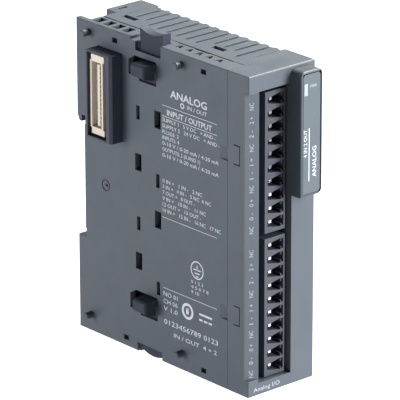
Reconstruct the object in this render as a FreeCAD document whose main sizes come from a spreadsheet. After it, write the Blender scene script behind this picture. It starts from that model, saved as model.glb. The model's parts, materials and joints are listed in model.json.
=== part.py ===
import FreeCAD, Part
import os
import re
import Sketcher

# DIN-rail input/output module for a modular controller.
#
# Every sub-part is drawn in case coordinates: x from the outer left side, y from the
# front face and z from the underside, in millimetres. The Placement of each sub-part
# then moves it into the frame of the part, whose origin is the middle of the face that
# rests on the 35 mm rail: +X to the right, +Y to the back, +Z up.

SIZES = {
    # case
    "case_width": 23.6,
    "case_depth": 70.0,
    "case_height": 90.0,
    "wall": 1.8,
    "thin_wall": 0.8,
    "seam": 0.1,
    "split_plane": 6.1,
    "bezel_depth": 8.1,
    "inner_back": 64.2,
    "edge_round": 0.4,
    # groove for the 35 mm rail
    "seat_depth": 3.2,
    "groove_low": 27.4,
    "groove_high": 62.6,
    "seat_low": 29.9,
    "seat_high": 60.1,
    "seat_relief": 0.3,
    "lip_tip": 60.7,
    "lip_front": 68.0,
    "lip_flat": 0.9,
    "lip_top": 63.0,
    "notch_side": 10.9,
    "notch_front": 65.7,
    "notch_floor": 66.0,
    # slots for air in the top and bottom walls
    "vent_first": 15.5,
    "vent_pitch": 3.97,
    "vent_width": 1.0,
    "vent_left": 9.3,
    "vent_left_short": 12.8,
    "vent_right": 21.7,
    "finger_left": 12.0,
    "finger_width": 3.4,
    "finger_end": 20.9,
    "finger_height": 0.9,
    "window_left": 9.6,
    "window_right": 11.4,
    # alignment pegs and their holes
    "peg_radius": 1.0,
    "peg_hole_radius": 1.1,
    "peg_length": 2.5,
    "peg_front": 26.5,
    "peg_back": 64.6,
    "peg_low": 5.0,
    "peg_high": 87.0,
    # locking slider
    "lock_travel": 3.0,
    "lock_face": 1.0,
    "lock_thick": 2.0,
    "lock_front": 38.0,
    "lock_back": 42.6,
    "lock_low": 9.5,
    "lock_high": 84.8,
    "tab_front": 35.1,
    "tab_back": 44.3,
    "tab_inner": 3.8,
    "tab_top": 93.0,
    "tab_bottom": 0.6,
    "tab_radius": 9.42,
    "tab_centre": 8.22,
    "foot_radius": 10.4,
    "foot_drop": 0.9,
    "hook_front": 37.0,
    "hook_back": 42.2,
    "hook_reach": 4.2,
    "hook_lip": 2.3,
    "hook_upper": 84.6,
    "hook_lower": 17.4,
    "hook_neck": 2.0,
    "hook_height": 3.6,
    "cheek_drop": 4.65,
    "cheek_thick": 1.0,
    "hook_window_front": 36.7,
    "hook_window_step": 43.8,
    "hook_window_back": 48.1,
    "hook_window_gap": 0.4,
    "column_front": 36.3,
    "column_back": 44.3,
    "guide_slot_width": 2.6,
    "guide_slot_height": 4.9,
    "mark_slot_width": 1.4,
    "mark_slot_height": 3.9,
    # bus connectors
    "shroud_front": 50.7,
    "shroud_back": 60.9,
    "shroud_low": 59.2,
    "shroud_high": 84.0,
    "shroud_rim": 4.2,
    "shroud_lip": 2.0,
    "shroud_wall": 0.5,
    "shroud_flange": 1.0,
    "bus_middle": 71.6,
    "bus_half": 11.3,
    "bus_waist": 9.6,
    "bus_front": 54.3,
    "bus_back": 59.6,
    "bus_offset": 0.55,
    "bus_face": 3.4,
    "bus_pitch": 1.27,
    "bus_pin": 0.4,
    # circuit boards
    "board_thick": 1.6,
    "bus_board_left": 4.8,
    "io_board_left": 15.8,
    "io_board_front": 11.9,
    "board_back": 63.4,
    "board_low": 2.9,
    "board_high": 87.1,
    # terminal headers
    "header_left": 7.15,
    "header_right": 14.35,
    "header_face": 1.5,
    "header_depth": 9.2,
    "header_length": 39.3,
    "header_low": 3.75,
    "header_high": 44.6,
    "pole_pitch": 3.81,
    "pole_first": 2.505,
    "pin_size": 0.9,
    "pin_centre": 10.1,
    "pin_tip": 2.7,
    "pin_turn": 12.9,
    "pin_tail": 18.2,
    # front
    "recess_left": 3.7,
    "recess_right": 15.3,
    "recess_low": 3.4,
    "recess_high": 85.3,
    "recess_floor": 7.2,
    "recess_skin": 0.8,
    "strip_low": 4.7,
    "strip_high": 85.0,
    "strip_slope": 1.5,
    "strip_thick": 0.6,
    "cover_left": 14.7,
    "cover_right": 22.4,
    "cover_low": 54.2,
    "cover_high": 89.0,
    "cover_reach": 4.2,
    "cover_round": 0.4,
    "plate_inset": 0.6,
    "pipe_left": 15.8,
    "pipe_width": 1.2,
    "pipe_low": 82.3,
    "pipe_high": 85.6,
    # rail clip
    "clip_travel": 8.5,
    "clip_left": 8.5,
    "clip_right": 19.5,
    "clip_wing": 1.2,
    "clip_wing_low": 11.7,
    "clip_wing_high": 27.2,
    "clip_back": 69.9,
    "clip_rise": 29.3,
}

doc = FreeCAD.newDocument("io_module")
sheet = doc.addObject("Spreadsheet::Sheet", "Dims")


def fill_sheet():
    """Write each driving dimension and its note into the sheet."""
    for row, (alias, value) in enumerate(SIZES.items(), start=1):
        sheet.set(f"A{row}", alias.replace("_", " "))
        sheet.set(f"B{row}", str(value))
        sheet.setAlias(f"B{row}", alias)
    doc.recompute()


def dim(text):
    """Turn plain sheet words into a full expression: 'wall * 2' to 'Dims.wall * 2'."""
    return re.sub(r"[a-z][a-z_]+", lambda word: "Dims." + word.group(0), str(text))


def bind(item, **expressions):
    """Bind properties to the sheet; a double underscore stands for a dot."""
    for name, text in expressions.items():
        item.setExpression(name.replace("__", "."), dim(text))


def finish(item, name):
    """Name a sub-part and move it from case coordinates into the part's frame."""
    item.Label = name
    bind(
        item,
        Placement__Base__x="-case_width / 2",
        Placement__Base__y="seat_depth - case_depth",
        Placement__Base__z="-case_height / 2",
    )
    SUB_PARTS.append(item)
    return item


SUB_PARTS = []

# ---------------------------------------------------------------- sketches


def polygon(sketch, points):
    """Closed outline through points, each held by its two signed distances."""
    first = sketch.GeometryCount
    total = len(points)
    for step in range(total):
        start = FreeCAD.Vector(step, step * step, 0)
        end = FreeCAD.Vector(step + 1, (step + 1) ** 2, 0)
        sketch.addGeometry(Part.LineSegment(start, end), False)
    for step in range(total):
        following = first + (step + 1) % total
        sketch.addConstraint(Sketcher.Constraint("Coincident", first + step, 2, following, 1))
    for step, (across, up) in enumerate(points):
        hold(sketch, "DistanceX", first + step, 1, across)
        hold(sketch, "DistanceY", first + step, 1, up)


def hold(sketch, kind, shape, point, text):
    """Signed distance from the sketch's origin to one point of its geometry."""
    index = sketch.addConstraint(Sketcher.Constraint(kind, -1, 1, shape, point, 1.0))
    sketch.setExpression(f"Constraints[{index}]", dim(text))


def rectangle(sketch, low_x, low_y, high_x, high_y):
    polygon(sketch, [(low_x, low_y), (high_x, low_y), (high_x, high_y), (low_x, high_y)])


def slot(sketch, middle_x, middle_y, width, height):
    """Rectangle about its middle."""
    rectangle(
        sketch,
        f"{middle_x} - {width} / 2",
        f"{middle_y} - {height} / 2",
        f"{middle_x} + {width} / 2",
        f"{middle_y} + {height} / 2",
    )


def circle(sketch, across, up, radius):
    shape = sketch.addGeometry(Part.Circle(FreeCAD.Vector(1, 1, 0), FreeCAD.Vector(0, 0, 1), 1), False)
    hold(sketch, "DistanceX", shape, 3, across)
    hold(sketch, "DistanceY", shape, 3, up)
    index = sketch.addConstraint(Sketcher.Constraint("Radius", shape, 1.0))
    sketch.setExpression(f"Constraints[{index}]", dim(radius))


# ---------------------------------------------------------------- features


def new_body(name):
    return doc.addObject("PartDesign::Body", name + "_body")


def origin_item(body, role):
    return next(item for item in body.Origin.OriginFeatures if item.Role == role)


def feature(body, kind, name, plane, low, high, draw):
    """Pad or Pocket between two heights on one axis: low and high are case coordinates.

    A Pad grows the way its sketch looks and a Pocket cuts the other way. The XZ plane
    looks towards -Y, so its sketch starts from the other end, at a negated height.
    """
    looks_back = plane == "XZ"
    start = low if (kind == "Pad") != looks_back else high
    height = f"-({start})" if looks_back else start
    sketch = body.newObject("Sketcher::SketchObject", name + "_sketch")
    sketch.AttachmentSupport = (origin_item(body, plane + "_Plane"), "")
    sketch.MapMode = "FlatFace"
    sketch.setExpression("AttachmentOffset.Base.z", dim(height))
    draw(sketch)
    made = body.newObject("PartDesign::" + kind, name)
    made.Profile = sketch
    made.setExpression("Length", dim(f"({high}) - ({low})"))
    sketch.Visibility = False
    return made


def pad(body, name, plane, low, high, draw):
    return feature(body, "Pad", name, plane, low, high, draw)


def pocket(body, name, plane, low, high, draw):
    """Cut between two heights and make sure that the cut took material away."""
    before = solid_volume(body)
    made = feature(body, "Pocket", name, plane, low, high, draw)
    if solid_volume(body) > before - 1e-6:
        raise RuntimeError(f"{made.Name} cuts nothing")
    return made


def solid_volume(body):
    doc.recompute()
    return body.Tip.Shape.Volume


def pocket_box(body, name, low, high):
    """Cut a plain box between two corners given in case coordinates."""
    return pocket(body, name, "XY", low[2], high[2], lambda s: rectangle(s, low[0], low[1], high[0], high[1]))


def pad_box(body, name, low, high):
    """Add a plain box between two corners given in case coordinates."""
    return pad(body, name, "XY", low[2], high[2], lambda s: rectangle(s, low[0], low[1], high[0], high[1]))


def row_of(body, made, axis, pitch, count):
    """Repeat a feature along one of the body's axes."""
    doc.recompute()
    pattern = body.newObject("PartDesign::LinearPattern", made.Name + "_row")
    pattern.Originals = [made]
    pattern.Direction = (origin_item(body, axis + "_Axis"), [""])
    pattern.Occurrences = count
    pattern.setExpression("Length", dim(f"{pitch} * {count - 1}"))
    body.Tip = pattern
    doc.recompute()
    return pattern


def dress(body, kind, name, amount, wanted):
    """Fillet or chamfer the edges of the body's last shape that pass a test."""
    doc.recompute()
    base = body.Tip
    edges = [f"Edge{i}" for i, edge in enumerate(base.Shape.Edges, start=1) if wanted(edge)]
    if not edges:
        raise RuntimeError(f"{name} finds no edges")
    made = body.newObject("PartDesign::" + kind, name)
    made.Base = (base, edges)
    made.setExpression("Radius" if kind == "Fillet" else "Size", dim(amount))
    doc.recompute()
    return made


def along(edge, axis, **places):
    """True for a straight edge along an axis whose other coordinates are as given."""
    box = edge.BoundBox
    spans = {"x": box.XLength, "y": box.YLength, "z": box.ZLength}
    lows = {"x": box.XMin, "y": box.YMin, "z": box.ZMin}
    flat = all(length < 1e-6 for name, length in spans.items() if name != axis)
    return flat and all(abs(lows[name] - value) < 1e-4 for name, value in places.items())


# ---------------------------------------------------------------- plain blocks


def block(name, low, high):
    """Part::Box between two corners given in case coordinates."""
    box = doc.addObject("Part::Box", name)
    bind(
        box,
        Length=f"({high[0]}) - ({low[0]})",
        Width=f"({high[1]}) - ({low[1]})",
        Height=f"({high[2]}) - ({low[2]})",
        Placement__Base__x=low[0],
        Placement__Base__y=low[1],
        Placement__Base__z=low[2],
    )
    return box


def rod(name, base, axis, radius, length):
    """Part::Cylinder from a base point along +X or +Z."""
    cylinder = doc.addObject("Part::Cylinder", name)
    turn = FreeCAD.Rotation(FreeCAD.Vector(0, 0, 1), axis)
    cylinder.Placement = FreeCAD.Placement(FreeCAD.Vector(0, 0, 0), turn)
    bind(
        cylinder,
        Radius=radius,
        Height=length,
        Placement__Base__x=base[0],
        Placement__Base__y=base[1],
        Placement__Base__z=base[2],
    )
    return cylinder


def fused(name, pieces):
    joined = doc.addObject("Part::MultiFuse", name + "_fuse")
    joined.Shapes = pieces
    return joined


def group(name, pieces):
    """Several separate solids of one kind in one sub-part."""
    held = doc.addObject("Part::Compound", name + "_group")
    held.Links = pieces
    return held


# ---------------------------------------------------------------- case


def side_profile(sketch):
    """Side view of the case behind the bezel, with the groove for the rail.

    The face that rests on the rail stops short of the lip above and the clip below.
    """
    polygon(
        sketch,
        [
            ("bezel_depth + seam", "0"),
            ("case_depth", "0"),
            ("case_depth", "groove_low"),
            ("case_depth - seat_depth - seat_relief", "groove_low"),
            ("case_depth - seat_depth - seat_relief", "seat_low"),
            ("case_depth - seat_depth", "seat_low"),
            ("case_depth - seat_depth", "seat_high"),
            ("case_depth - seat_depth - seat_relief", "seat_high"),
            ("case_depth - seat_depth - seat_relief", "groove_high"),
            ("lip_front", "groove_high"),
            ("lip_front", "lip_tip"),
            ("lip_front + lip_flat", "lip_tip"),
            ("case_depth", "lip_top"),
            ("case_depth", "case_height"),
            ("bezel_depth + seam", "case_height"),
        ],
    )


def outer_edge(x_value):
    """Test for the long outer edges of the case on one side face."""

    def wanted(edge):
        top = along(edge, "y", x=x_value, z=SIZES["case_height"])
        bottom = along(edge, "y", x=x_value, z=0)
        back = along(edge, "z", x=x_value, y=SIZES["case_depth"])
        return top or bottom or back

    return wanted


# Column and middle height of each wide guide slot and each narrow mark slot.
GUIDE_SLOTS = (("column_back", "55.05"), ("column_back", "26.6"),
               ("column_front", "69.15"), ("column_front", "40.7"))
MARK_SLOTS = (("column_back", "69.2"), ("column_back", "37.5"),
              ("column_front", "51.8"), ("column_front", "20.9"))


def draw_guide_slots(sketch):
    """Two columns of slots that run along the locking slider, point-symmetric."""
    for column, height in GUIDE_SLOTS:
        slot(sketch, column, height, "guide_slot_width", "guide_slot_height")
    for column, height in MARK_SLOTS:
        slot(sketch, column, height, "mark_slot_width", "mark_slot_height")


def draw_corner_marks(sketch):
    for across, up in (("53.7", "87.2"), ("17.7", "87.2"), ("49.9", "2.6"), ("17.8", "2.6")):
        slot(sketch, across, up, "2.1", "1.4")


def draw_hook_windows(sketch):
    """Openings for the necks of the hooks, stepped at the bottom and cut off at the back."""
    for height in ("hook_upper", "hook_lower"):
        low = f"{height} - hook_neck - lock_travel - 0.3"
        high = f"{height} + hook_window_gap"
        polygon(
            sketch,
            [("hook_window_front", f"{low} - 1"), ("hook_window_step", f"{low} - 1"),
             ("hook_window_step", low), ("hook_window_back", low),
             ("hook_window_back", f"{high} - 1.5"), ("hook_window_back - 2.5", high),
             ("hook_window_front", high)],
        )


def draw_ring_mark(sketch):
    """Ring left by the mould."""
    for radius in ("1.7", "1.35"):
        circle(sketch, "58", "44.8", radius)


def draw_pegs(radius):
    """Circles at the four corners of the peg rectangle."""

    def draw(sketch):
        for across in ("peg_front", "peg_back"):
            for up in ("peg_low", "peg_high"):
                circle(sketch, across, up, radius)

    return draw


def draw_strip_holes(sketch):
    """Small moulded openings in the top strip: arrowheads in front, squares behind."""
    for step in range(5):
        middle = f"15.6 + {step} * 3.97"
        polygon(
            sketch,
            [("2.7", f"{middle} - 1.2"), ("4.9", f"{middle} - 0.3"), ("4.9", f"{middle} + 0.3"),
             ("2.7", f"{middle} + 1.2"), ("3.3", middle)],
        )
    for step in range(4):
        slot(sketch, "3.05", f"51.6 + {step} * 3.93", "3.4", "2.7")


def make_left_cover():
    """Left side plate with a rim that closes the first 6 mm of the case."""
    body = new_body("left_cover")
    pad(body, "cover_shell", "YZ", "0", "split_plane - seam", side_profile)
    dress(body, "Fillet", "cover_round", "edge_round", outer_edge(0))
    pocket_box(
        body,
        "cover_hollow",
        ("wall", "bezel_depth", "wall"),
        ("split_plane", "inner_back", "case_height - wall"),
    )
    pocket_box(
        body,
        "cover_track",
        ("thin_wall", "lock_front - 0.3", "wall / 2"),
        ("wall + 0.1", "lock_back + 0.3", "case_height - 1.4"),
    )
    for name, low, high in (("top", "lock_high - lock_travel - 0.4", "case_height"),
                            ("bottom", "0", "lock_low + 0.5")):
        pocket_box(
            body,
            f"cover_{name}_opening",
            ("thin_wall", "tab_front - 0.2", low),
            ("tab_inner + 0.3", "tab_back + 0.3", high),
        )
    pocket(body, "cover_notches", "YZ", "0", "thin_wall + 0.1", draw_tab_notches)
    pocket(body, "cover_hook_windows", "YZ", "0", "wall", draw_hook_windows)
    pocket(body, "cover_guide_slots", "YZ", "0", "wall", draw_guide_slots)
    pocket(body, "cover_corner_marks", "YZ", "0", "1.2", draw_corner_marks)
    pocket(body, "cover_ring_mark", "YZ", "0", "0.25", draw_ring_mark)
    pocket(body, "cover_ring_dot", "YZ", "0", "0.4", lambda s: circle(s, "57.6", "44.9", "0.45"))
    pocket(body, "cover_bus_opening", "YZ", "0", "wall", lambda s: draw_bus_opening(s, "0.1"))
    pocket(body, "cover_strip_holes", "XY", "case_height - wall", "case_height", draw_strip_holes)
    pocket_box(
        body,
        "cover_seam_notch",
        ("split_plane - 0.7", "21.5", "case_height - 1.2"),
        ("split_plane", "27.5", "case_height"),
    )
    pocket_box(
        body,
        "cover_top_step",
        ("0", "tab_back + 0.2", "case_height - 0.9"),
        ("split_plane", "47.2", "case_height"),
    )
    for name, front, back in (("rear", "47.1", "notch_front + 0.1"), ("front", "12.6", "tab_front - 0.6")):
        pocket_box(
            body,
            f"cover_{name}_gap",
            ("split_plane - 0.4", front, "case_height - 0.9"),
            ("split_plane", back, "case_height"),
        )
    pocket_box(
        body,
        "cover_rear_notch",
        ("wall", "notch_front", "notch_floor"),
        ("split_plane", "case_depth", "case_height"),
    )
    for name, low, high in (("upper", "65", "69"), ("lower", "20", "24")):
        pocket(body, f"cover_{name}_ramp", "XY", low, high, draw_ramp)
    pad(body, "cover_pegs", "YZ", "-peg_length", "0.3", draw_pegs("peg_radius"))
    dress(
        body,
        "Chamfer",
        "cover_peg_tips",
        "0.3",
        lambda edge: abs(edge.BoundBox.XMax + SIZES["peg_length"]) < 1e-6,
    )
    return finish(body, "left_cover")


def draw_tab_notches(sketch):
    rectangle(sketch, "tab_front - 0.2", "case_height - 3.4", "tab_back + 0.9", "case_height + 0.1")
    rectangle(sketch, "tab_front - 0.2", "-0.1", "tab_back + 0.9", "2.6")


def draw_ramp(sketch):
    polygon(sketch, [("0", "bezel_depth"), ("0.7", "bezel_depth"), ("0", "bezel_depth + 3.1")])


def draw_bus_opening(sketch, gap):
    rectangle(
        sketch,
        f"shroud_front - {gap}",
        f"shroud_low - {gap}",
        f"shroud_back + {gap}",
        f"shroud_high + {gap}",
    )


def draw_vents(first, last, left):
    """Parallel slots across the wall, numbered from the front."""

    def draw(sketch):
        for step in range(first, last + 1):
            middle = f"(vent_first + {step} * vent_pitch)"
            rectangle(
                sketch,
                left,
                f"{middle} - vent_width / 2",
                "vent_right",
                f"{middle} + vent_width / 2",
            )

    return draw


def draw_finger(sketch):
    """One raised finger between two air slots, cut back at its right corners."""
    middle = "(vent_first - vent_pitch / 2)"
    half = "finger_width / 2"
    polygon(
        sketch,
        [
            ("finger_left", f"{middle} - {half}"),
            ("finger_end", f"{middle} - {half}"),
            ("finger_end + 0.9", f"{middle} - {half} + 0.4"),
            ("finger_end + 1.4", f"{middle} - 0.6"),
            ("finger_end + 1.4", f"{middle} + 0.6"),
            ("finger_end + 0.9", f"{middle} + {half} - 0.4"),
            ("finger_end", f"{middle} + {half}"),
            ("finger_left", f"{middle} + {half}"),
        ],
    )


def draw_top_windows(sketch):
    rectangle(sketch, "window_left", "20.9", "window_right", "25.9")
    rectangle(sketch, "window_left", "56.8", "window_right", "62.4")


def draw_right_openings(sketch):
    """Openings that take the bus plug, hooks and pegs of the next module."""
    draw_bus_opening(sketch, "0.3")
    for height in ("hook_upper", "hook_lower"):
        low = f"{height} - hook_neck - lock_travel - 0.7"
        deep = f"{height} - cheek_drop - lock_travel - 0.6"
        inner = "hook_front + cheek_thick + 0.4"
        polygon(
            sketch,
            [("hook_front - 1.5", deep), (inner, deep), (inner, low), ("hook_back + 0.6", low),
             ("hook_back + 0.6", f"{height} + 0.6"), ("hook_front - 1.5", f"{height} + 0.6")],
        )
    draw_pegs("peg_hole_radius")(sketch)


def make_main_housing():
    """Right side, top, bottom and back of the case in one moulding."""
    body = new_body("main_housing")
    pad(body, "housing_shell", "YZ", "split_plane + seam", "case_width", side_profile)
    dress(body, "Fillet", "housing_round", "edge_round", outer_edge(SIZES["case_width"]))
    pocket_box(
        body,
        "housing_hollow",
        ("split_plane", "bezel_depth", "wall"),
        ("case_width - wall", "inner_back", "case_height - wall"),
    )
    pocket_box(
        body,
        "housing_rear_notch",
        ("split_plane", "notch_front", "notch_floor"),
        ("notch_side", "case_depth", "case_height"),
    )
    make_top_fingers(body)
    pocket(body, "housing_vents_short", "XY", "case_height - wall", "case_height", draw_short_vents)
    pocket(body, "housing_vents_long", "XY", "case_height - wall", "case_height", draw_long_vents)
    pocket(body, "housing_vents_low", "XY", "0", "wall", draw_vents(1, 10, "vent_left"))
    pocket(body, "housing_top_windows", "XY", "case_height - wall", "case_height", draw_top_windows)
    pocket_box(
        body,
        "housing_rear_slot",
        ("13.2", "67.3", "case_height - 3"),
        ("16.3", "68.4", "case_height"),
    )
    pocket(body, "housing_side_openings", "YZ", "case_width - wall", "case_width", draw_right_openings)
    make_clip_channel(body)
    make_rear_cores(body)
    make_board_ribs(body)
    make_seam_lip(body)
    return finish(body, "main_housing")


def make_top_fingers(body):
    """Sunk edge along the right of the top, with the fingers left standing in it."""
    pocket_box(
        body,
        "housing_ledge",
        ("finger_left", "vent_first - vent_pitch", "case_height - finger_height"),
        ("case_width", "vent_first + 12 * vent_pitch", "case_height"),
    )
    made = pad(
        body, "housing_finger", "XY", "case_height - finger_height - 0.1", "case_height", draw_finger
    )
    row_of(body, made, "Y", "vent_pitch", 13)


def draw_short_vents(sketch):
    draw_vents(1, 3, "vent_left_short")(sketch)
    draw_vents(10, 11, "vent_left_short")(sketch)


def draw_long_vents(sketch):
    draw_vents(0, 0, "vent_left")(sketch)
    draw_vents(4, 9, "vent_left")(sketch)


def make_clip_channel(body):
    """Stepped channel in the back that holds the rail clip and lets it slide."""
    pocket_box(
        body,
        "housing_clip_narrow",
        ("clip_left - 0.1", "inner_back + 3", "0"),
        ("clip_right + 0.1", "case_depth", "groove_low"),
    )
    pocket_box(
        body,
        "housing_clip_wide",
        ("clip_left - clip_wing - 0.1", "inner_back + 1.2", "clip_wing_low - clip_travel - 0.1"),
        ("clip_right + clip_wing + 0.1", "inner_back + 3.1", "clip_wing_high + 0.1"),
    )


def make_rear_cores(body):
    """Coring pockets in the thick part of the back wall above the rail."""
    for step in range(2):
        left = f"notch_side + 1.6 + {step} * 5.2"
        pocket_box(
            body,
            f"housing_core_{step + 1}",
            (left, "notch_front", "notch_floor + 2"),
            (f"{left} + 4", "case_depth", "case_height - 4"),
        )


def make_board_ribs(body):
    """Ribs on the floor and roof of the case that hold the input/output board."""
    for name, low, high in (("floor", "wall - 0.1", "board_low + 0.6"),
                            ("roof", "board_high - 0.6", "case_height - wall + 0.1")):
        for side, left in (("left", "io_board_left - 1.1"), ("right", "io_board_left + board_thick + 0.1")):
            for step in range(2):
                front = f"22 + {step} * 24"
                rib = f"rib_{name}_{side}_{step + 1}"
                pad_box(body, rib, (left, front, low), (f"{left} + 1", f"{front} + 8", high))


def make_seam_lip(body):
    """Lip on the inside of the back wall that reaches across the seam into the left cover."""
    low = ("split_plane + seam", "inner_back - 0.8", "wall - 0.1")
    pad_box(body, "seam_lip_root", low, ("split_plane + 1.2", "inner_back + 0.1", "notch_floor - 2"))
    low = ("split_plane - 1", "inner_back - 0.8", "wall + 0.1")
    pad_box(body, "seam_lip", low, ("split_plane + 1.2", "inner_back - 0.1", "notch_floor - 2"))


# ---------------------------------------------------------------- front


def draw_strip_seat(sketch):
    polygon(
        sketch,
        [("-0.1", "-0.1"), ("recess_left", "-0.1"), ("recess_left", "strip_thick + 0.05"),
         ("-0.1", "strip_slope + strip_thick + 0.09")],
    )


def draw_snap_groove(sketch):
    """Outline of two snap tongues in the side of the bezel, open towards the back."""
    for low, high in (("64.7", "70.3"), ("19.5", "25.1")):
        polygon(
            sketch,
            [("3.3", low), ("5.7", low), ("5.7", f"{low} + 0.3"), ("3.6", f"{low} + 0.3"),
             ("3.6", f"{high} - 0.3"), ("5.7", f"{high} - 0.3"), ("5.7", high), ("3.3", high)],
        )


def draw_header_openings(sketch):
    for low in ("header_low", "header_high"):
        rectangle(
            sketch,
            "header_left - 0.05",
            f"{low} - 0.05",
            "header_right + 0.05",
            f"{low} + header_length + 0.05",
        )


def make_front_bezel():
    """Front frame with the recess for the two terminal headers."""
    body = new_body("front_bezel")
    pad_box(body, "bezel_shell", ("0", "0", "0"), ("case_width", "bezel_depth", "case_height"))
    dress(body, "Fillet", "bezel_round", "edge_round", bezel_edge)
    pocket_box(
        body,
        "bezel_hollow",
        ("wall", "wall", "wall"),
        ("case_width - wall", "bezel_depth", "case_height - wall"),
    )
    pad_box(
        body,
        "bezel_tray",
        ("recess_left - recess_skin", "wall - 0.1", "recess_low - recess_skin"),
        ("recess_right + recess_skin", "recess_floor + recess_skin", "recess_high + recess_skin"),
    )
    pocket_box(
        body,
        "bezel_recess",
        ("recess_left", "0", "recess_low"),
        ("recess_right", "recess_floor", "recess_high"),
    )
    pocket(body, "bezel_header_openings", "XZ", "recess_floor", "bezel_depth", draw_header_openings)
    pocket(body, "bezel_strip_seat", "XY", "strip_low - 0.05", "strip_high + 0.05", draw_strip_seat)
    pocket(body, "bezel_snap_grooves", "YZ", "0", "wall", draw_snap_groove)
    pocket_box(
        body,
        "bezel_pipe_hole",
        ("pipe_left - 0.1", "0", "pipe_low - 0.1"),
        ("pipe_left + pipe_width + 0.1", "wall", "pipe_high + 0.1"),
    )
    pocket_box(
        body,
        "bezel_pipe_room",
        ("recess_right", "wall", "pipe_low - 0.1"),
        ("recess_right + recess_skin + 0.1", "bezel_depth", "pipe_high + 0.1"),
    )
    return finish(body, "front_bezel")


def bezel_edge(edge):
    """Front edges and the four long edges of the bezel."""
    width = SIZES["case_width"]
    height = SIZES["case_height"]
    sides = any(along(edge, "y", x=x, z=z) for x in (0, width) for z in (0, height))
    uprights = any(along(edge, "z", x=x, y=0) for x in (0, width))
    rails = any(along(edge, "x", y=0, z=z) for z in (0, height))
    return sides or uprights or rails


def make_terminal_label():
    """Printed strip beside the terminals, set on a slope at the left front corner."""
    body = new_body("terminal_label")
    pad(
        body,
        "strip",
        "XY",
        "strip_low",
        "strip_high",
        lambda s: polygon(
            s,
            [("0", "strip_slope"), ("recess_left", "0"), ("recess_left", "strip_thick"),
             ("0", "strip_slope + strip_thick")],
        ),
    )
    return finish(body, "terminal_label")


def make_label_cover():
    """Raised housing for the label and the lamp on the right of the front."""
    body = new_body("label_cover")
    pad_box(
        body,
        "cover_block",
        ("cover_left", "-cover_reach", "cover_low"),
        ("cover_right", "-seam", "cover_high"),
    )
    right = SIZES["cover_right"]
    dress(body, "Fillet", "cover_corners", "1.6", lambda edge: along(edge, "y", x=right))
    left = SIZES["cover_left"]
    high = SIZES["cover_high"]
    dress(body, "Fillet", "cover_left_corner", "1.4", lambda edge: along(edge, "y", x=left, z=high))
    front = -SIZES["cover_reach"]
    dress(body, "Fillet", "cover_front", "cover_round", lambda edge: along(edge, "z", x=left, y=front))
    pocket_box(
        body,
        "cover_core",
        ("cover_left + 1", "1 - cover_reach", "cover_low + 1"),
        ("cover_right - 1.6", "0", "cover_high - 1.6"),
    )
    pocket_box(
        body,
        "cover_plate_seat",
        ("cover_left + 0.7", "-cover_reach", "cover_low + 0.6"),
        ("cover_right - 0.5", "plate_inset - cover_reach", "cover_high - 0.6"),
    )
    pocket_box(
        body,
        "cover_pipe_hole",
        ("pipe_left - 0.05", "-cover_reach", "pipe_low - 0.05"),
        ("pipe_left + pipe_width + 0.05", "1.2 - cover_reach", "pipe_high + 0.05"),
    )
    pad_box(
        body,
        "cover_skirt",
        ("cover_left", "-1.2", "cover_low"),
        ("recess_right - 0.1", "header_face", "recess_high - 0.1"),
    )
    return finish(body, "label_cover")


def make_label_plate():
    """Inset plate that carries the module's name and the lamp window."""
    body = new_body("label_plate")
    pad_box(
        body,
        "plate",
        ("cover_left + 0.85", "0.05 - cover_reach", "cover_low + 0.75"),
        ("cover_right - 0.85", "plate_inset - cover_reach", "cover_high - 0.95"),
    )
    right = SIZES["cover_right"] - 0.85
    dress(body, "Fillet", "plate_corners", "1.0", lambda edge: along(edge, "y", x=right))
    left = SIZES["cover_left"] + 0.85
    high = SIZES["cover_high"] - 0.95
    dress(body, "Fillet", "plate_left_corner", "0.8", lambda edge: along(edge, "y", x=left, z=high))
    pocket_box(
        body,
        "plate_window",
        ("pipe_left - 0.05", "-cover_reach", "pipe_low - 0.05"),
        ("pipe_left + pipe_width + 0.05", "plate_inset - cover_reach", "pipe_high + 0.05"),
    )
    return finish(body, "label_plate")


def make_light_pipe():
    """Clear bar that carries the lamp's light to the front of the label."""
    bar = block(
        "pipe_bar",
        ("pipe_left", "-cover_reach", "pipe_low"),
        ("pipe_left + pipe_width", "io_board_front - 0.3", "pipe_high"),
    )
    foot = block(
        "pipe_foot",
        ("pipe_left", "bezel_depth + 0.2", "pipe_low"),
        ("io_board_left + board_thick + 1.3", "io_board_front - 0.3", "pipe_high"),
    )
    return finish(fused("light_pipe", [bar, foot]), "light_pipe")


def draw_pole(sketch):
    """Opening of one pole, narrow on the left and wide on the right."""
    middle = "(header_low + pole_first)"
    polygon(
        sketch,
        [
            ("header_left + 1", f"{middle} - 0.75"),
            ("header_right - 1.5", f"{middle} - 1.65"),
            ("header_right - 1.5", f"{middle} + 1.65"),
            ("header_left + 1", f"{middle} + 0.75"),
        ],
    )


def draw_key(sketch):
    """Coding slot of one pole, next to its opening."""
    middle = "(header_low + pole_first)"
    polygon(
        sketch,
        [
            ("header_right - 1.6", f"{middle} - 0.75"),
            ("header_right - 1.25", f"{middle} - 0.75"),
            ("header_right - 1.25", f"{middle} - 1.45"),
            ("header_right - 0.5", f"{middle} - 1.45"),
            ("header_right - 0.5", f"{middle} + 1.45"),
            ("header_right - 1.25", f"{middle} + 1.45"),
            ("header_right - 1.25", f"{middle} + 0.75"),
            ("header_right - 1.6", f"{middle} + 0.75"),
        ],
    )


def draw_pin_hole(sketch):
    slot(sketch, "pin_centre", "(header_low + pole_first)", "pin_size + 0.1", "pin_size + 0.1")


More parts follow.
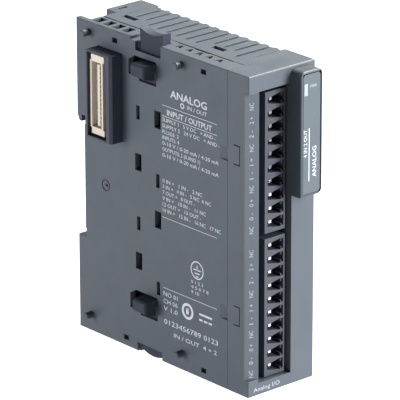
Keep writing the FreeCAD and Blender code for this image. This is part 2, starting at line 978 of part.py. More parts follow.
def make_header(name, lift):
    """Ten-pole pin header of 3.81 mm pitch, lifted from the place of the lower one."""
    body = new_body(name)
    pad_box(
        body,
        name + "_block",
        ("header_left", "header_face", "header_low"),
        ("header_right", "header_face + header_depth", "header_low + header_length"),
    )
    openings = (("pole", "header_face", "header_face + 7.4", draw_pole),
                ("key", "header_face", "header_face + 6", draw_key),
                ("hole", "header_face + 7", "header_face + header_depth", draw_pin_hole))
    for part_name, low, high, draw in openings:
        made = pocket(body, f"{name}_{part_name}", "XZ", low, high, draw)
        row_of(body, made, "Z", "pole_pitch", 10)
    finish(body, name)
    bind(body, Placement__Base__z=f"{lift} - case_height / 2")
    return body


def make_pins(name, low):
    """Ten square pins, bent towards the input/output board."""
    pins = []
    half = "pin_size / 2"
    for step in range(10):
        middle = f"{low} + pole_first + {step} * pole_pitch"
        straight = block(
            f"{name}_straight_{step}",
            (f"pin_centre - {half}", "pin_tip", f"{middle} - {half}"),
            (f"pin_centre + {half}", "pin_turn + pin_size", f"{middle} + {half}"),
        )
        tail = block(
            f"{name}_tail_{step}",
            ("pin_centre", "pin_turn", f"{middle} - {half}"),
            ("pin_tail", "pin_turn + pin_size", f"{middle} + {half}"),
        )
        pins.append(fused(f"{name}_{step}", [straight, tail]))
    return finish(group(name, pins), name)


# ---------------------------------------------------------------- moving parts


def draw_hook(height):
    """Section of a hook in the XZ plane: neck through the wall, lip that points down."""

    def draw(sketch):
        polygon(
            sketch,
            [
                ("lock_face + 0.2", f"{height} - hook_neck"),
                ("hook_lip - hook_reach", f"{height} - hook_neck"),
                ("hook_lip - hook_reach", f"{height} - hook_height"),
                ("0.4 - hook_reach", f"{height} - hook_height"),
                ("-hook_reach", f"{height} - hook_height + 0.4"),
                ("-hook_reach", f"{height} - 0.5"),
                ("0.5 - hook_reach", height),
                ("lock_face + 0.2", height),
            ],
        )

    return draw


def draw_cheek(height):
    """Section of the cheek that closes the front of a hook outside the case."""

    def draw(sketch):
        polygon(
            sketch,
            [
                ("-0.3", f"{height} - cheek_drop"),
                ("-0.3", height),
                ("0.5 - hook_reach", height),
                ("-hook_reach", f"{height} - 0.5"),
                ("-hook_reach", f"{height} - hook_height + 0.4"),
                ("0.4 - hook_reach", f"{height} - hook_height"),
            ],
        )

    return draw


def make_lock_slider():
    """Slider that locks the module to its neighbour: pushed down it locks."""
    body = new_body("lock_slider")
    pad_box(
        body,
        "slider_bottom_tab",
        ("lock_face", "tab_front", "tab_bottom - foot_drop"),
        ("tab_inner", "tab_back", "lock_low + 0.1"),
    )
    pocket(body, "slider_bottom_round", "YZ", "lock_face", "tab_inner", draw_foot_waste)
    pad_box(
        body,
        "slider_plate",
        ("lock_face", "lock_front", "lock_low"),
        ("lock_face + lock_thick", "lock_back", "lock_high"),
    )
    pad_box(
        body,
        "slider_top_tab",
        ("lock_face", "tab_front", "lock_high - 0.1"),
        ("tab_inner", "tab_back", "tab_top"),
    )
    pocket(body, "slider_top_hollow", "YZ", "lock_face - 0.1", "tab_inner + 0.1", draw_thumb_hollow)
    for name, height in (("upper", "hook_upper"), ("lower", "hook_lower")):
        pad(body, f"slider_{name}_hook", "XZ", "hook_front", "hook_back", draw_hook(height))
        pad(
            body,
            f"slider_{name}_cheek",
            "XZ",
            "hook_front",
            "hook_front + cheek_thick",
            draw_cheek(height),
        )
    reach = -SIZES["hook_reach"]
    front = SIZES["hook_front"]
    dress(body, "Fillet", "slider_hook_round", "0.7", lambda edge: along(edge, "z", x=reach, y=front))
    return finish(body, "lock_slider")


def draw_thumb_hollow(sketch):
    """Round hollow for the thumb on top of the upper tab."""
    circle(sketch, "(tab_front + tab_back) / 2", "tab_top + tab_centre", "tab_radius")


def draw_foot_waste(sketch):
    """All that lies outside the round underside of the lower tab."""
    middle = "(tab_front + tab_back) / 2"
    centre = "(tab_bottom - foot_drop + foot_radius)"
    reach = "(foot_radius + 1)"
    circle(sketch, middle, centre, "foot_radius")
    rectangle(
        sketch,
        f"{middle} - {reach}",
        f"{centre} - {reach}",
        f"{middle} + {reach}",
        f"{centre} + {reach}",
    )


def make_din_clip():
    """Clip that holds the lower flange of the rail: pulled down it lets go."""
    body = new_body("din_clip")
    pad_box(
        body,
        "clip_bar",
        ("clip_left", "inner_back + 3.1", "0.2"),
        ("clip_right", "clip_back", "groove_low - 0.1"),
    )
    pad_box(
        body,
        "clip_web",
        ("clip_left", "inner_back + 1.4", "clip_wing_low"),
        ("clip_right", "inner_back + 3.2", "clip_wing_high - 0.1"),
    )
    pad_box(
        body,
        "clip_wings",
        ("clip_left - clip_wing", "inner_back + 1.4", "clip_wing_low"),
        ("clip_right + clip_wing", "inner_back + 2.95", "clip_wing_high - 0.1"),
    )
    pad(body, "clip_hook", "YZ", "clip_left", "clip_right", draw_clip_hook)
    pocket_box(
        body,
        "clip_driver_slot",
        ("(clip_left + clip_right) / 2 - 2.5", "inner_back + 3", "1.8"),
        ("(clip_left + clip_right) / 2 + 2.5", "clip_back", "4.2"),
    )
    for step in range(2):
        left = f"clip_left + 1.2 + {step} * 7.4"
        pocket_box(
            body,
            f"clip_leaf_{step + 1}",
            (left, "inner_back + 3", "8"),
            (f"{left} + 1.2", "clip_back", "22"),
        )
    return finish(body, "din_clip")


def draw_clip_hook(sketch):
    """Nose behind the lower flange of the rail, sloped so that the rail pushes it down."""
    polygon(
        sketch,
        [("lip_front + 0.1", "groove_low - 0.2"), ("clip_back", "groove_low - 0.2"),
         ("clip_back", "groove_low + 0.3"), ("lip_front + 0.8", "clip_rise"),
         ("lip_front + 0.1", "clip_rise")],
    )


# ---------------------------------------------------------------- bus connectors


def make_bus_plug_shroud():
    """Dark collar round the bus plug, snapped into the left cover from inside."""
    body = new_body("bus_plug_shroud")
    pad(body, "shroud_tube", "YZ", "-shroud_rim", "wall + 0.9", lambda s: draw_bus_opening(s, "0"))
    pad(body, "shroud_flange_ring", "YZ", "wall + 0.1", "wall + 0.9", draw_shroud_flange)
    front = SIZES["shroud_front"]
    rim = -SIZES["shroud_rim"]
    dress(body, "Chamfer", "shroud_chamfer", "0.7", lambda edge: along(edge, "z", x=rim, y=front))
    pocket(body, "shroud_hollow", "YZ", "-shroud_rim", "wall + 0.9", draw_shroud_hollow)
    return finish(body, "bus_plug_shroud")


def draw_shroud_flange(sketch):
    rectangle(
        sketch,
        "shroud_front - shroud_flange",
        "shroud_low - shroud_flange",
        "shroud_back + shroud_flange",
        "shroud_high + shroud_flange",
    )


def draw_shroud_hollow(sketch):
    rectangle(
        sketch,
        "shroud_front + shroud_lip",
        "shroud_low + shroud_wall",
        "shroud_back - shroud_wall",
        "shroud_high - shroud_wall",
    )


def draw_bus_outline(sketch):
    """Waisted outline of the bus connectors: the ends stand further forward."""
    low = "bus_middle - bus_half"
    high = "bus_middle + bus_half"
    waist_low = "bus_middle - bus_waist"
    waist_high = "bus_middle + bus_waist"
    polygon(
        sketch,
        [
            ("bus_front", low), ("bus_back", low), ("bus_back", waist_low),
            ("bus_back + bus_offset", waist_low), ("bus_back + bus_offset", waist_high),
            ("bus_back", waist_high), ("bus_back", high), ("bus_front", high),
            ("bus_front", waist_high), ("bus_front + bus_offset", waist_high),
            ("bus_front + bus_offset", waist_low), ("bus_front", waist_low),
        ],
    )


def draw_bus_slot(sketch):
    rectangle(
        sketch,
        "bus_front + 1.2",
        "bus_middle - bus_waist + 0.3",
        "bus_back - 0.2",
        "bus_middle + bus_waist - 0.3",
    )


def draw_bus_tongue(sketch):
    rectangle(sketch, "56.3", "bus_middle - bus_waist + 0.9", "57.4", "bus_middle + bus_waist - 0.9")


def make_bus_body(name, low, high, floor, tongue):
    """Cream connector body between two x heights, with its slot open to one side."""
    body = new_body(name)
    pad(body, name + "_block", "YZ", low, high, draw_bus_outline)
    pocket(body, name + "_slot", "YZ", floor[0], floor[1], draw_bus_slot)
    pad(body, name + "_tongue", "YZ", tongue[0], tongue[1], draw_bus_tongue)
    return finish(body, name)


def make_bus_contacts(name, low, high):
    """Two rows of thirteen contacts, one on each side of the tongue."""
    contacts = []
    for row, front in enumerate(("56.0", "57.4")):
        for step in range(-6, 7):
            middle = f"bus_middle + {step} * bus_pitch"
            contacts.append(
                block(
                    f"{name}_{row}_{step + 6}",
                    (low, front, f"{middle} - bus_pin / 2"),
                    (high, f"{front} + 0.3", f"{middle} + bus_pin / 2"),
                )
            )
    return finish(group(name, contacts), name)


# ---------------------------------------------------------------- electronics


def make_bus_board():
    """Board on the left that carries the bus plug."""
    board = block(
        "bus_board_sheet",
        ("bus_board_left", "48", "board_low + 2"),
        ("bus_board_left + board_thick", "board_back", "board_high - 1"),
    )
    arm = block(
        "bus_board_arm",
        ("bus_board_left", "16", "44"),
        ("bus_board_left + board_thick", "48", "80"),
    )
    return finish(fused("bus_board", [board, arm]), "bus_board")


def make_io_board():
    """Board that takes the terminal pins and most of the electronics."""
    body = new_body("io_board")
    pad_box(
        body,
        "io_sheet",
        ("io_board_left", "io_board_front", "board_low"),
        ("io_board_left + board_thick", "board_back", "board_high"),
    )
    for name, low in (("lower", "header_low"), ("upper", "header_high")):
        made = pocket(
            body,
            f"io_{name}_hole",
            "YZ",
            "io_board_left",
            "io_board_left + board_thick",
            lambda s, foot=low: circle(s, "pin_turn + pin_size / 2", f"{foot} + pole_first", "0.7"),
        )
        row_of(body, made, "Z", "pole_pitch", 10)
    return finish(body, "io_board")


def on_left(name, height, low, high):
    """Block that stands on the left face of the input/output board."""
    return block(name, (f"io_board_left - {height}", *low), ("io_board_left", *high))


def on_right(name, height, low, high):
    """Block that stands on the right face of the input/output board."""
    return block(
        name,
        ("io_board_left + board_thick", *low),
        (f"io_board_left + board_thick + {height}", *high),
    )


def chip_with_legs(name, height, front, low, size, legs):
    """Packaged circuit on the right face: a body and two rows of legs."""
    wide, tall = size
    pieces = [
        on_right(f"{name}_case", height, (str(front), str(low)), (str(front + wide), str(low + tall)))
    ]
    pitch = tall / legs
    for step in range(legs):
        foot = low + pitch * (step + 0.5) - 0.2
        pieces.append(
            on_right(f"{name}_leg_{step}", 0.3, (str(front - 0.9), str(foot)),
                     (str(front + wide + 0.9), str(foot + 0.4)))
        )
    return fused(name, pieces)


def make_circuits():
    """Packaged circuits on the right face of the input/output board."""
    finish(chip_with_legs("microcontroller", 1.4, 28.0, 30.0, (10.0, 10.0), 12), "microcontroller")
    finish(chip_with_legs("input_converter", 1.2, 20.0, 54.0, (4.4, 7.8), 10), "input_converter")
    finish(chip_with_legs("output_converter", 1.2, 20.0, 14.0, (4.4, 6.5), 8), "output_converter")
    isolators = [
        chip_with_legs(f"isolator_{step}", 2.3, 44.0, 20.0 + step * 13.0, (7.5, 10.3), 8)
        for step in range(2)
    ]
    finish(group("isolators", isolators), "isolators")


def make_power_parts():
    """Isolating transformer, inductor, regulator and capacitors between the boards."""
    core = on_left("transformer_core", 7.8, ("30", "14"), ("43", "27"))
    winding = block(
        "transformer_winding",
        ("io_board_left - 6.6", "28.6", "16.4"),
        ("io_board_left - 1.2", "44.4", "24.6"),
    )
    finish(fused("isolation_transformer", [core, winding]), "isolation_transformer")

    choke = on_left("inductor_block", 4.5, ("20", "34"), ("27.3", "41.3"))
    rim = on_left("inductor_rim", 1.0, ("19.7", "33.7"), ("27.6", "41.6"))
    finish(fused("inductor", [choke, rim]), "inductor")

    tab = on_left("regulator_tab", 0.6, ("20", "56"), ("26.5", "65"))
    case = on_left("regulator_case", 2.3, ("20", "56"), ("26.5", "62"))
    finish(fused("voltage_regulator", [case, tab]), "voltage_regulator")

    to_board = FreeCAD.Vector(1, 0, 0)
    cans = [
        rod(f"can_{step}", ("io_board_left - 7.7", "54", f"{12 + step * 9}"), to_board, "3.15", "7.7")
        for step in range(3)
    ]
    finish(group("capacitors", cans), "capacitors")


def make_board_link():
    """Two halves of the connector between the boards."""
    socket = on_left("link_socket_block", 5.2, ("30", "52"), ("34.6", "76"))
    rim = on_left("link_socket_rim", 0.8, ("29.6", "51.6"), ("35", "76.4"))
    finish(fused("board_link_socket", [socket, rim]), "board_link_socket")
    plug = block(
        "link_plug_block",
        ("bus_board_left + board_thick", "30", "52"),
        ("io_board_left - 5.25", "34.6", "76"),
    )
    rim = block(
        "link_plug_rim",
        ("bus_board_left + board_thick", "29.6", "51.6"),
        ("bus_board_left + board_thick + 0.8", "35", "76.4"),
    )
    finish(fused("board_link_plug", [plug, rim]), "board_link_plug")


def make_small_parts():
    """Lamp and the rows of small chip resistors and capacitors."""
    lamp = on_right("lamp_block", 1.2, ("io_board_front", "82.3"), ("io_board_front + 1.6", "84.2"))
    finish(group("power_led", [lamp]), "power_led")

    chips = []
    for row in range(2):
        for step in range(10):
            front = 16.2 if row == 0 else 30.0
            low = 8.0 + step * 3.81 if row == 0 else 8.0 + step * 1.9
            near = (str(front), str(low))
            far = (str(front + 2.0), str(low + 1.2))
            chips.append(on_right(f"chip_{row}_{step}", 0.6, near, far))
    finish(group("chip_parts", chips), "chip_parts")


# ---------------------------------------------------------------- document


def make_sub_parts():
    make_left_cover()
    make_main_housing()
    make_front_bezel()
    make_terminal_label()
    make_label_cover()
    make_label_plate()
    make_light_pipe()
    make_header("header_lower", "0")
    make_header("header_upper", "header_high - header_low")
    make_pins("pins_lower", "header_low")
    make_pins("pins_upper", "header_high")
    make_lock_slider()
    make_din_clip()
    make_bus_plug_shroud()
    make_bus_body(
        "bus_plug_body", "-bus_face", "bus_board_left", ("-bus_face", "0.2"), ("0.3 - bus_face", "0.3")
    )
    make_bus_contacts("bus_plug_contacts", "0.15 - bus_face", "0.2")
    make_bus_body(
        "bus_socket_body",
        "io_board_left + board_thick",
        "case_width - 0.9",
        ("case_width - 4.1", "case_width - 0.9"),
        ("case_width - 4.2", "case_width - 1.2"),
    )
    make_bus_contacts("bus_socket_contacts", "case_width - 4.1", "case_width - 1.5")
    make_bus_board()
    make_io_board()
    make_circuits()
    make_power_parts()
    make_board_link()
    make_small_parts()


def check_document():
    """Stop if any object failed or any sub-part is empty or invalid."""
    doc.recompute()
    for item in doc.Objects:
        if "Invalid" in item.State or "Error" in item.State:
            raise RuntimeError(f"{item.Name} failed: {item.State}")
    for item in SUB_PARTS:
        if item.Shape.isNull() or not item.Shape.isValid():
            raise RuntimeError(f"{item.Label} has no valid shape")


def export():
    os.makedirs("parts", exist_ok=True)
    for item in SUB_PARTS:
        item.Shape.exportStep(f"parts/{item.Label}.step")
        print(f"{item.Label}: {len(item.Shape.Solids)} solids, {item.Shape.Volume:.0f} mm3")


fill_sheet()
make_sub_parts()
check_document()
export()
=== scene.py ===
import json
import math

import bmesh
import bpy
from mathutils import Matrix, Vector


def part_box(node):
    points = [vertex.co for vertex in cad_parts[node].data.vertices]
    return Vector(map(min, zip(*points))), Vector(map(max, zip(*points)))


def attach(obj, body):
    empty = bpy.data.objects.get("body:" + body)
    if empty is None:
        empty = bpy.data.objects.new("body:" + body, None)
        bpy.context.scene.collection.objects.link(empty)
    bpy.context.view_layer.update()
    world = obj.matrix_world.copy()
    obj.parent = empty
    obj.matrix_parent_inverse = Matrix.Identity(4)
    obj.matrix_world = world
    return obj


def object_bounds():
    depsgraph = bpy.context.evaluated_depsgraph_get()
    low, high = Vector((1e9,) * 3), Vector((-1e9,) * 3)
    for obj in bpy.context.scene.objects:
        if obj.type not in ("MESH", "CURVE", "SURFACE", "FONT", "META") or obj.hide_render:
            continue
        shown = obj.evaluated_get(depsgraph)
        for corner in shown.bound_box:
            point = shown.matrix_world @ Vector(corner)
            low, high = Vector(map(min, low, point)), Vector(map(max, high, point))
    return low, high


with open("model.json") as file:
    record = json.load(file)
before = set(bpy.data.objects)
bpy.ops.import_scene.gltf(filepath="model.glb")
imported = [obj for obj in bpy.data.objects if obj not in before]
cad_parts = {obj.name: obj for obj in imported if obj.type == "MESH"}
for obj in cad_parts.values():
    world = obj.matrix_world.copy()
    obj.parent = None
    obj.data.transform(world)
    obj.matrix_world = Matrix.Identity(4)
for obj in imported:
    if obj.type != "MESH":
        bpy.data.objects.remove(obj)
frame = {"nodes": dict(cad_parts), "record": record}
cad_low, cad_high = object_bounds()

# Looks of the DIN-rail input/output module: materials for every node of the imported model,
# softened edges, the printing on its sides, a pale floor, soft lights and the camera.

MM = 0.001
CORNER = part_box("front_bezel")[0]
NODES = frame["nodes"]


def case(x, y, z):
    """Point in metres from millimetres counted from the case's lower left front corner."""
    return CORNER + Vector((x, y, z)) * MM


# ---------------------------------------------------------------- materials


def linear(colour):
    """Linear colour from 0 to 255 display values."""
    steps = [value / 255 for value in colour]
    return tuple(s / 12.92 if s <= 0.04045 else ((s + 0.055) / 1.055) ** 2.4 for s in steps)


def shade(colour, factor):
    """Linear colour with alpha, darker or lighter by a factor."""
    return (*(min(1.0, value * factor) for value in linear(colour)), 1.0)


class Material:
    """A node material with a few helpers to build its tree."""

    def __init__(self, name):
        self.material = bpy.data.materials.new(name)
        self.material.use_nodes = True
        self.nodes = self.material.node_tree.nodes
        self.links = self.material.node_tree.links
        self.surface = self.nodes["Principled BSDF"]
        self.place = self.nodes.new("ShaderNodeTexCoord").outputs["Object"]

    def noise(self, size, detail=3.0, stretch=None):
        """Noise whose features are about size metres across."""
        node = self.nodes.new("ShaderNodeTexNoise")
        node.inputs["Scale"].default_value = 1 / size
        node.inputs["Detail"].default_value = detail
        node.inputs["Roughness"].default_value = 0.55
        place = self.place
        if stretch:
            mapping = self.nodes.new("ShaderNodeMapping")
            mapping.inputs["Scale"].default_value = stretch
            self.links.new(place, mapping.inputs["Vector"])
            place = mapping.outputs["Vector"]
        self.links.new(place, node.inputs["Vector"])
        return node.outputs["Fac"]

    def remap(self, value, low, high, start=0.3, end=0.7):
        """Spread the values from start to end over low to high, held at both ends."""
        node = self.nodes.new("ShaderNodeMapRange")
        node.inputs["From Min"].default_value = start
        node.inputs["From Max"].default_value = end
        node.inputs["To Min"].default_value = low
        node.inputs["To Max"].default_value = high
        self.links.new(value, node.inputs["Value"])
        return node.outputs["Result"]

    def mix(self, factor, first, second):
        """Colour between two colours or colour sockets."""
        node = self.nodes.new("ShaderNodeMix")
        node.data_type = "RGBA"
        self.links.new(factor, node.inputs["Factor"])
        for socket, value in (("A", first), ("B", second)):
            target = next(s for s in node.inputs if s.name == socket and s.type == "RGBA")
            if isinstance(value, tuple):
                target.default_value = value
            else:
                self.links.new(value, target)
        return next(s for s in node.outputs if s.type == "RGBA")

    def edge(self, radius):
        """Rounded normal, and a mask that is 1 on sharp edges."""
        soft = self.nodes.new("ShaderNodeBevel")
        soft.samples = 4
        soft.inputs["Radius"].default_value = radius
        true = self.nodes.new("ShaderNodeNewGeometry")
        dot = self.nodes.new("ShaderNodeVectorMath")
        dot.operation = "DOT_PRODUCT"
        self.links.new(soft.outputs["Normal"], dot.inputs[0])
        self.links.new(true.outputs["Normal"], dot.inputs[1])
        return soft.outputs["Normal"], self.remap(dot.outputs["Value"], 1.0, 0.0, 0.8, 0.995)

    def bump(self, height, strength, depth, normal=None):
        """Normal of a surface raised by up to depth metres."""
        node = self.nodes.new("ShaderNodeBump")
        node.inputs["Strength"].default_value = strength
        node.inputs["Distance"].default_value = depth
        self.links.new(height, node.inputs["Height"])
        if normal is not None:
            self.links.new(normal, node.inputs["Normal"])
        return node.outputs["Normal"]


def moulded(name, colour, rough=0.5, grain=0.35, relief=0.35, cloud=0.05, edge_highlight=1.25, specular=0.33):
    """Moulded plastic: fine grain, faint clouds in colour and gloss, and a painted highlight that lightens
    the edges.
    """
    made = Material(name)
    clouds = made.noise(14 * MM, 4.0)
    specks = made.noise(0.5 * MM, 2.0)
    base = made.mix(made.remap(clouds, 0, 1), shade(colour, 1 - cloud), shade(colour, 1 + cloud))
    mottled = made.mix(made.remap(specks, 0, 0.3), base, shade(colour, 1 + 2.5 * cloud))
    # Painted highlight: a mask from the rounded normal lightens the colour along convex and concave edges,
    # standing in for light caught on the rims.
    normal, highlit_edges = made.edge(0.14 * MM)
    coloured = made.mix(made.remap(highlit_edges, 0, 0.7, 0, 1), mottled, shade(colour, edge_highlight))
    made.links.new(coloured, made.surface.inputs["Base Color"])
    gloss = made.remap(made.noise(5 * MM, 5.0), rough - 0.06, rough + 0.06)
    made.links.new(gloss, made.surface.inputs["Roughness"])
    made.surface.inputs["Specular IOR Level"].default_value = specular
    height = made.noise(grain * MM, 2.0)
    made.links.new(made.bump(height, relief, 0.02 * MM, normal), made.surface.inputs["Normal"])
    return made


def metal(name, colour, rough, brushed=(1, 1, 1)):
    """Plated or drawn metal with fine marks and slightly uneven gloss."""
    made = Material(name)
    marks = made.noise(0.25 * MM, 3.0, brushed)
    stains = made.noise(1.6 * MM, 3.0)
    made.links.new(
        made.mix(made.remap(stains, 0, 1), shade(colour, 0.82), shade(colour, 1.1)),
        made.surface.inputs["Base Color"],
    )
    made.surface.inputs["Metallic"].default_value = 1.0
    made.links.new(made.remap(marks, rough - 0.08, rough + 0.12), made.surface.inputs["Roughness"])
    normal, _ = made.edge(0.08 * MM)
    made.links.new(made.bump(marks, 0.2, 0.01 * MM, normal), made.surface.inputs["Normal"])
    return made


def board(name, colour, track):
    """Lacquered circuit board: raised tracks under the lacquer."""
    made = Material(name)
    weave = made.nodes.new("ShaderNodeTexBrick")
    weave.inputs["Scale"].default_value = 1 / (2.4 * MM)
    weave.inputs["Mortar Size"].default_value = 0.06
    weave.inputs["Color1"].default_value = (0, 0, 0, 1)
    weave.inputs["Color2"].default_value = (0.12, 0.12, 0.12, 1)
    weave.inputs["Mortar"].default_value = (1, 1, 1, 1)
    turned = made.nodes.new("ShaderNodeMapping")
    turned.inputs["Rotation"].default_value = (0, math.pi / 2, 0)
    made.links.new(made.place, turned.inputs["Vector"])
    made.links.new(turned.outputs["Vector"], weave.inputs["Vector"])
    lines = made.remap(weave.outputs["Color"], 0, 0.8, 0.05, 1)
    base = made.mix(made.remap(made.noise(6 * MM), 0, 1), shade(colour, 0.9), shade(colour, 1.12))
    made.links.new(made.mix(lines, base, shade(track, 1)), made.surface.inputs["Base Color"])
    made.links.new(made.remap(made.noise(2 * MM), 0.24, 0.38), made.surface.inputs["Roughness"])
    made.links.new(made.bump(lines, 0.4, 0.03 * MM), made.surface.inputs["Normal"])
    return made


def clear_bar(name, colour):
    """Frosted clear plastic of the light pipe."""
    made = moulded(name, colour, rough=0.22, relief=0.1, cloud=0.02, edge_highlight=1.0)
    made.surface.inputs["Subsurface Weight"].default_value = 0.3
    made.surface.inputs["Subsurface Scale"].default_value = 0.6 * MM
    made.surface.inputs["Coat Weight"].default_value = 0.5
    return made


CASE_GREY = (66, 73, 82)
FINISHES = {
    "side_grey": moulded("side_grey", CASE_GREY, rough=0.52),
    "case_grey": moulded("case_grey", CASE_GREY, rough=0.50),
    "front_grey": moulded("front_grey", CASE_GREY, rough=0.48),
    "strip_grey": moulded("strip_grey", (73, 80, 89), rough=0.42, relief=0.15),
    "cover_grey": moulded("cover_grey", (59, 66, 74), rough=0.42, relief=0.2),
    "plate_grey": moulded("plate_grey", (71, 80, 87), rough=0.38, relief=0.12),
    "lens_clear": clear_bar("lens_clear", (138, 148, 156)),
    # The header's rims get a strong painted highlight.
    "header_grey": moulded("header_grey", (54, 57, 67), rough=0.45, edge_highlight=2.2),
    "pin_tin": metal("pin_tin", (235, 233, 226), 0.22, (1, 0.2, 1)),
    "lock_dark": moulded("lock_dark", (43, 48, 60), rough=0.58, relief=0.25, specular=0.16),
    "clip_black": moulded("clip_black", (34, 35, 40), rough=0.42, relief=0.2),
    "shroud_dark": moulded("shroud_dark", (40, 46, 60), rough=0.45, relief=0.25),
    "connector_cream": moulded("connector_cream", (200, 190, 174), rough=0.45, relief=0.15, edge_highlight=1.1),
    "contact_gold": metal("contact_gold", (150, 146, 136), 0.35),
    "board_green": board("board_green", (9, 44, 28), (20, 68, 42)),
    "chip_black": moulded("chip_black", (26, 26, 28), rough=0.6, grain=0.2, relief=0.5),
    "ferrite_grey": moulded("ferrite_grey", (46, 46, 49), rough=0.7, grain=0.25, relief=0.6),
    "can_aluminium": metal("can_aluminium", (200, 200, 205), 0.3, (0.2, 1, 1)),
    "link_black": moulded("link_black", (28, 28, 30), rough=0.45),
    "led_white": moulded("led_white", (225, 225, 214), rough=0.3, relief=0.1, edge_highlight=1.05),
    "chip_tan": moulded("chip_tan", (150, 122, 88), rough=0.5, grain=0.2),
}
INK = moulded("print_white", (186, 190, 196), rough=0.55, grain=0.2, relief=0.25, cloud=0.04, edge_highlight=1.0)
FAINT_INK = moulded("print_grey", (150, 158, 166), rough=0.55, grain=0.2, relief=0.2, cloud=0.05, edge_highlight=1.0)

for row in frame["record"]["subparts"]:
    mesh = NODES[row["node"]].data
    mesh.materials.clear()
    mesh.materials.append(FINISHES[row["material_slot"]].material)


# ---------------------------------------------------------------- printing

# Turns text into a printed face: its reading direction, its height and the way it faces.
LEFT_SIDE = Matrix(((0, 0, -1), (-1, 0, 0), (0, 1, 0))).to_4x4()
FRONT = Matrix(((1, 0, 0), (0, 0, -1), (0, 1, 0))).to_4x4()
INK_THICK = 0.02
# Height of a capital letter as a share of the font's size.
CAPITAL_SHARE = 0.69
# The label strip falls back by this much over its width, in millimetres.
STRIP_FALL = 1.5
STRIP_WIDTH = 3.7
# Where a mark starts across the strip, and how far below its pin's middle.
MARK_ACROSS = 2.3
MARK_BELOW = 0.9
PIN_HALF = 0.45


def glyphs(text, height, bold=0.0):
    """Mesh of a line of text with capitals of the given height in millimetres."""
    curve = bpy.data.curves.new("line", "FONT")
    curve.body = text
    curve.resolution_u = 2
    curve.size = height * MM / CAPITAL_SHARE
    curve.offset = bold * height * MM
    curve.extrude = INK_THICK * MM / 2
    holder = bpy.data.objects.new("line", curve)
    made = bpy.data.meshes.new_from_object(holder)
    bpy.data.objects.remove(holder)
    return made


class Print:
    """Collects printed lines, bars and rings on the case into one thin piece."""

    def __init__(self, name, ink):
        self.name = name
        self.ink = ink
        self.mesh = bmesh.new()

    def add(self, mesh, matrix):
        """Take in a mesh, moved by the matrix, and remove it."""
        mesh.transform(matrix)
        self.mesh.from_mesh(mesh)
        bpy.data.meshes.remove(mesh)

    def text(self, face, start, text, height, length=None, bold=0.0, turned=False):
        """A line of text from start, squeezed or stretched to length millimetres."""
        mesh = glyphs(text, height, bold)
        right = max(vertex.co.x for vertex in mesh.vertices)
        left = min(vertex.co.x for vertex in mesh.vertices)
        squeeze = length * MM / (right - left) if length else 1.0
        local = Matrix.Diagonal((squeeze, 1, 1, 1)) @ Matrix.Translation((-left, 0, 0))
        if turned:
            local = Matrix.Rotation(math.pi / 2, 4, "Z") @ local
        self.add(mesh, Matrix.Translation(case(*start)) @ face @ local)

    def bar(self, face, start, width, height):
        """A plain rule, width along the text and height across it."""
        block = bmesh.new()
        bmesh.ops.create_cube(block, size=1.0)
        size = Matrix.Diagonal((width * MM, height * MM, INK_THICK * MM, 1))
        middle = Matrix.Translation((width * MM / 2, height * MM / 2, 0))
        block.transform(Matrix.Translation(case(*start)) @ face @ middle @ size)
        holder = bpy.data.meshes.new("rule")
        block.to_mesh(holder)
        block.free()
        self.add(holder, Matrix.Identity(4))

    def ring(self, face, centre, outer, inner, steps=40):
        """A flat ring as a closed thin solid."""
        block = bmesh.new()
        loops = []
        for radius in (outer, inner):
            for side in (-0.5, 0.5):
                loops.append([
                    block.verts.new((
                        radius * MM * math.cos(2 * math.pi * step / steps),
                        radius * MM * math.sin(2 * math.pi * step / steps),
                        side * INK_THICK * MM,
                    ))
                    for step in range(steps)
                ])
        around = (loops[0], loops[1], loops[3], loops[2])
        for first, second in zip(around, around[1:] + around[:1]):
            for step in range(steps):
                after = (step + 1) % steps
                block.faces.new((first[step], first[after], second[after], second[step]))
        block.transform(Matrix.Translation(case(*centre)) @ face)
        holder = bpy.data.meshes.new("ring")
        block.to_mesh(holder)
        block.free()
        self.add(holder, Matrix.Identity(4))

    def finish(self):
        """Make the piece, which rides on the case."""
        bmesh.ops.recalc_face_normals(self.mesh, faces=self.mesh.faces)
        data = bpy.data.meshes.new(self.name)
        self.mesh.to_mesh(data)
        self.mesh.free()
        data.materials.append(self.ink.material)
        piece = bpy.data.objects.new(self.name, data)
        bpy.context.scene.collection.objects.link(piece)
        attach(piece, "case")
        return piece


